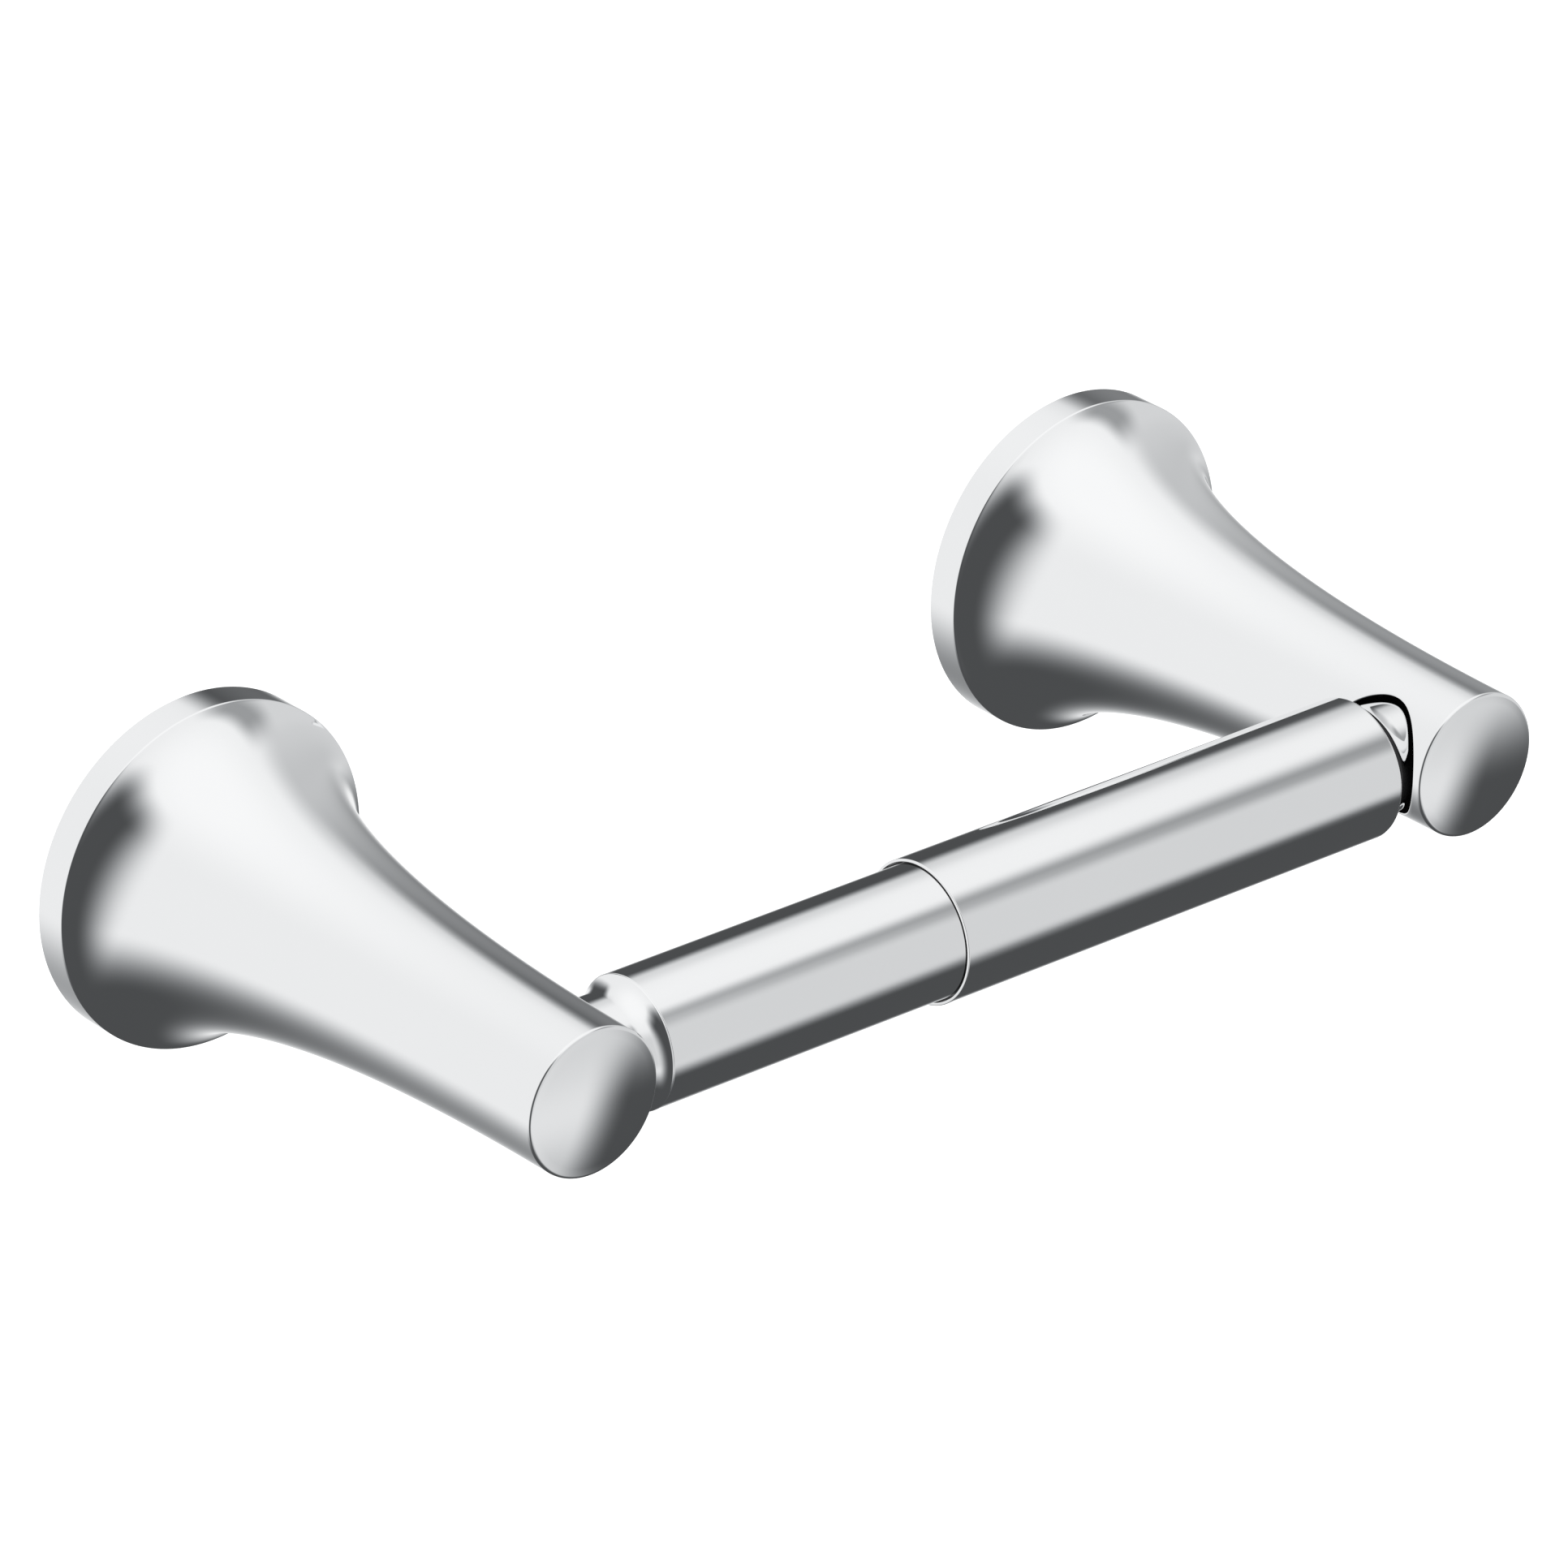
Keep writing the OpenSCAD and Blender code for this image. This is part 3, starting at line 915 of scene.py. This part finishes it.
def spring_wire():
    """Drawn music wire, with marks along the wire and a trace of oil."""
    s = Surface("music_wire", (0.42, 0.42, 0.42), 1.0, 0.3)
    marks = s.noise(1500, 3, s.stretched((3, 0.4, 0.4)))
    s.roughness(s.spread(marks, 0.2, 0.4))
    s.mix_colour(s.noise(120, 4), (0.34, 0.335, 0.33), (0.48, 0.475, 0.465))
    s.bump(marks, 0.006, 0.6)
    return s.material


def white_nylon():
    """Moulded nylon with a fine spark texture."""
    s = Surface("white_nylon", (0.8, 0.8, 0.76), 0.0, 0.5)
    s.shader.inputs["Subsurface Weight"].default_value = 0.15
    s.shader.inputs["Subsurface Radius"].default_value = (0.001, 0.001, 0.0008)
    s.roughness(s.spread(s.noise(1400, 3), 0.42, 0.58))
    s.mix_colour(s.noise(120, 4), (0.77, 0.765, 0.72), (0.83, 0.83, 0.79))
    s.bump(s.noise(2400, 3), 0.012, 0.6)
    return s.material


def finish_with(obj, slot_name, *materials):
    """Gives a piece its materials, in the order that its faces count them; slot_name is not used."""
    obj.data.materials.clear()
    for material in materials:
        obj.data.materials.append(material)


def in_hollow(inward, up, out):
    """True where a point of a post is on its hollow's skin, the pocket or what stands in it."""
    if out >= HOLLOW_DEPTH + 0.01 or out < 0.02:
        return False
    return math.hypot(inward, up) < flare_radius(max(out, RIM_W)) - 1.2


def in_socket(inward, up, out):
    """True where a point of a post is in its roller socket."""
    if inward < SOCKET_FLOOR - PIVOT_DEPTH - 0.1:
        return False
    return math.hypot(up, out - ROLLER_Y) < SOCKET_R + 0.02 and out > WINDOW_LOW


def paint_post(obj, sign):
    """Gives the hollow its as-cast material, and the socket's bore the near-black painted shade."""
    for face in obj.data.polygons:
        x, y, z = (c / MM for c in face.center)
        inward = POST_X - sign * x
        if in_hollow(inward, z, -y):
            face.material_index = 1
        elif in_socket(inward, z, -y):
            face.material_index = 2


def paint_shade_behind_lip(obj):
    """Paints shade on what lies behind the larger tube's lip, on either tube, with the near-black
    material.
    """
    for face in obj.data.polygons:
        x, y, z = (c / MM for c in face.center)
        if math.hypot(y + ROLLER_Y, z) < MOUTH_R + 0.01 and x > MOUTH_X + 0.05:
            face.material_index = 1


# ---- Building ------------------------------------------------------------------------


def build_wall_side():
    """The two posts, each with its bracket and its set screw."""
    plate = chrome("polished_chrome")
    cast = raw_casting()
    # Near-black painted shade for the inside of each roller socket
    bore = bore_painted_shade("socket_bore_painted_shade", (0.02, 0.02, 0.021), (0.07, 0.07, 0.072))
    sheet, oxide = bracket_steel(), black_screw()
    for side, sign in (("left", -1), ("right", 1)):
        post = post_casting(side + "_post_casting", sign)
        finish_with(post, "polished_chrome", plate, cast, bore)
        paint_post(post, sign)
        settle(post, "wall_frame", side + "_post")
        bracket = wall_bracket(side + "_wall_bracket", sign)
        finish_with(bracket, "bracket_steel", sheet)
        settle(bracket, "wall_frame", side + "_bracket")
        screw = set_screw(side + "_grub_screw", sign)
        finish_with(screw, "screw_steel", oxide)
        settle(screw, "wall_frame", side + "_set_screw")
    return plate


def build_roller(plate):
    """The roller's six pieces. The spring closes up as the roller is pushed in."""
    ends = chrome("plug_chrome", base=0.012)
    # Near-black painted shade for the slot behind the larger tube's lip
    lip_painted_shade = bore_painted_shade("tube_bore_painted_shade", (0.01, 0.01, 0.0105), (0.03, 0.03, 0.031))
    wire, nylon = spring_wire(), white_nylon()
    coil, larger, smaller = spring(), outer_tube(), inner_tube()
    for obj, slot_name, material, body, node in (
        (larger, "polished_chrome", plate, "outer_roller", "outer_tube"),
        (right_end(), "plug_chrome", ends, "outer_roller", "right_end_plug"),
        (smaller, "polished_chrome", plate, "inner_roller", "inner_tube"),
        (left_end(), "plug_chrome", ends, "inner_roller", "left_end_plug"),
        (tube_guide(), "white_nylon", nylon, "inner_roller", "slide_plug"),
        (coil, "spring_steel", wire, "outer_roller", "spring"),
    ):
        finish_with(obj, slot_name, material)
        settle(obj, body, node)
    # Both tubes get the near-black painted shade behind the lip
    for tube in (larger, smaller):
        tube.data.materials.append(lip_painted_shade)
        paint_shade_behind_lip(tube)
    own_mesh(coil)


def settle(obj, body, node):
    """Ties a piece to its body and node. Polish mirrors the studio and the right post only."""
    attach(obj, body)
    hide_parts(node)
    obj.visible_glossy = node == "right_post"


# ---- Studio --------------------------------------------------------------------------


# A soft dome over a dark floor, with a few soft panels in it. Brightness runs from 0 to 1 as the eye
# sees it. Azimuth 0 is in front of the holder, +90 is at its right, and all angles are in degrees.
STUDIO_STRENGTH = 1.13
FLOOR_LIGHT = 0.3
WALL_LIGHT = 0.92
TOP_LIGHT = 0.97
FLOOR_EDGE = (-66, -24)
TOP_EDGE = (30, 80)
COOLNESS = 0.05
DISPLAY_GAMMA = 2.2

# Each panel: name, brightness, (azimuth, elevation) of its middle, half its (width, height), and how
# far its edges fade across and up.
PANELS = (
    ("front wall", 0.82, (45, 5), (50, 20), (25, 20)),
    ("right wall", 0.75, (120, 10), (5, 15), (30, 25)),
    ("dark floor on the right", 0.3, (85, -60), (35, 30), (15, 15)),
    ("gap at the camera", 0.3, (-50, -25), (8, 60), (32, 28)),
    ("gap at the back", 0.3, (148, 5), (6, 13), (25, 16)),
    ("bar above the front", 0.6, (66, 37), (10, 2), (25, 12)),
)


def studio_light():
    """Soft light from all round the holder, as one smooth world."""
    world = bpy.data.worlds.new("soft_studio")
    bpy.context.scene.world = world
    world.use_nodes = True
    tree = world.node_tree
    nodes, links = tree.nodes, tree.links
    background = nodes["Background"]
    split = nodes.new("ShaderNodeSeparateXYZ")
    links.new(nodes.new("ShaderNodeTexCoord").outputs["Generated"], split.inputs[0])

    def maths(operation, *values):
        """A Math node; each value is a number or another node's output."""
        made = nodes.new("ShaderNodeMath")
        made.operation = operation
        for socket, value in zip(made.inputs, values):
            if isinstance(value, (int, float)):
                socket.default_value = value
            else:
                links.new(value, socket)
        return made.outputs[0]

    def fade(value, start, end):
        """0 at start and 1 at end, with a soft change between them."""
        made = nodes.new("ShaderNodeMapRange")
        made.interpolation_type = "SMOOTHSTEP"
        made.inputs["From Min"].default_value = start
        made.inputs["From Max"].default_value = end
        links.new(value, made.inputs["Value"])
        return made.outputs["Result"]

    def towards(light, target, amount):
        """The light, moved towards the target by an amount from 0 to 1."""
        return maths("MULTIPLY_ADD", maths("SUBTRACT", target, light), amount, light)

    front = maths("MULTIPLY", split.outputs["Y"], -1)
    azimuth = maths("DEGREES", maths("ARCTAN2", split.outputs["X"], front))
    elevation = maths("DEGREES", maths("ARCSINE", split.outputs["Z"]))
    light = towards(FLOOR_LIGHT, WALL_LIGHT, fade(elevation, *FLOOR_EDGE))
    light = towards(light, TOP_LIGHT, fade(elevation, *TOP_EDGE))
    for _, brightness, middle, half, edge in PANELS:
        across = maths("ABSOLUTE", maths("WRAP", maths("SUBTRACT", azimuth, middle[0]), 180, -180))
        up = maths("ABSOLUTE", maths("SUBTRACT", elevation, middle[1]))
        outside = [maths("SUBTRACT", 1, fade(value, size, size + soft))
                   for value, size, soft in zip((across, up), half, edge)]
        light = towards(light, brightness, maths("MULTIPLY", *outside))
    cool = maths("MULTIPLY", maths("SUBTRACT", 1, light), COOLNESS)
    power = maths("POWER", light, DISPLAY_GAMMA)
    colour = nodes.new("ShaderNodeCombineColor")
    links.new(maths("MULTIPLY", power, maths("SUBTRACT", 1, cool)), colour.inputs["Red"])
    links.new(power, colour.inputs["Green"])
    links.new(maths("MULTIPLY", power, maths("ADD", 1, cool)), colour.inputs["Blue"])
    links.new(colour.outputs["Color"], background.inputs["Color"])
    background.inputs["Strength"].default_value = STUDIO_STRENGTH


def pale_surface(name, strength):
    """Matt near-white that glows a little, so that it stays even."""
    material = bpy.data.materials.new(name)
    material.use_nodes = True
    shader = material.node_tree.nodes["Principled BSDF"]
    shader.inputs["Base Color"].default_value = (0.92, 0.92, 0.92, 1)
    shader.inputs["Roughness"].default_value = 0.9
    shader.inputs["Emission Color"].default_value = (1, 1, 1, 1)
    shader.inputs["Emission Strength"].default_value = strength
    return material


# In metres, as the camera's place is
FLOOR_Z = -1.6
BACKDROP_R = 5.0


def studio_room():
    """A pale floor and a pale round backdrop, out of the way of the holder's reflections."""
    for name, strength in (("floor", 0.5), ("backdrop", 0.6)):
        mesh = bpy.data.meshes.new(name)
        work = bmesh.new()
        if name == "floor":
            bmesh.ops.create_circle(work, cap_ends=True, segments=128, radius=BACKDROP_R)
            bmesh.ops.translate(work, verts=work.verts, vec=(0, 0, FLOOR_Z))
        else:
            bmesh.ops.create_uvsphere(work, u_segments=96, v_segments=48, radius=BACKDROP_R)
            bmesh.ops.reverse_faces(work, faces=work.faces)
        work.to_mesh(mesh)
        work.free()
        mesh.shade_smooth()
        obj = bpy.data.objects.new(name, mesh)
        bpy.context.scene.collection.objects.link(obj)
        mesh.materials.append(pale_surface("pale_" + name, strength))
        obj.visible_glossy = False
        obj.visible_diffuse = False
        obj.visible_shadow = False


CAMERA_AZIMUTH = math.radians(-41.32)
CAMERA_ELEVATION = math.radians(26.83)
CAMERA_ROLL = math.radians(1.67)
CAMERA_DISTANCE = 1.3340
CAMERA_TARGET = Vector((0.000157, -0.03079, -0.00049))
SENSOR_WIDTH = 36
LENS_WIDTHS = 6.16035


def studio_camera():
    """A long lens, in front of the holder, to its left and above it."""
    data = bpy.data.cameras.new("camera")
    data.sensor_width = SENSOR_WIDTH
    data.lens = SENSOR_WIDTH * LENS_WIDTHS
    camera = bpy.data.objects.new("camera", data)
    bpy.context.scene.collection.objects.link(camera)
    flat = math.cos(CAMERA_ELEVATION)
    back = Vector((math.sin(CAMERA_AZIMUTH) * flat, -math.cos(CAMERA_AZIMUTH) * flat,
                   math.sin(CAMERA_ELEVATION)))
    right = (-back).cross(Vector((0, 0, 1))).normalized()
    up = right.cross(-back)
    turned = Matrix.Rotation(CAMERA_ROLL, 3, back)
    axes = Matrix((turned @ right, turned @ up, back)).transposed()
    camera.matrix_world = Matrix.Translation(CAMERA_TARGET + back * CAMERA_DISTANCE) @ axes.to_4x4()
    data.clip_start, data.clip_end = 0.01, 20
    bpy.context.scene.camera = camera
    bpy.context.scene.view_settings.view_transform = "Standard"


studio_camera()
studio_light()
studio_room()
build_roller(build_wall_side())
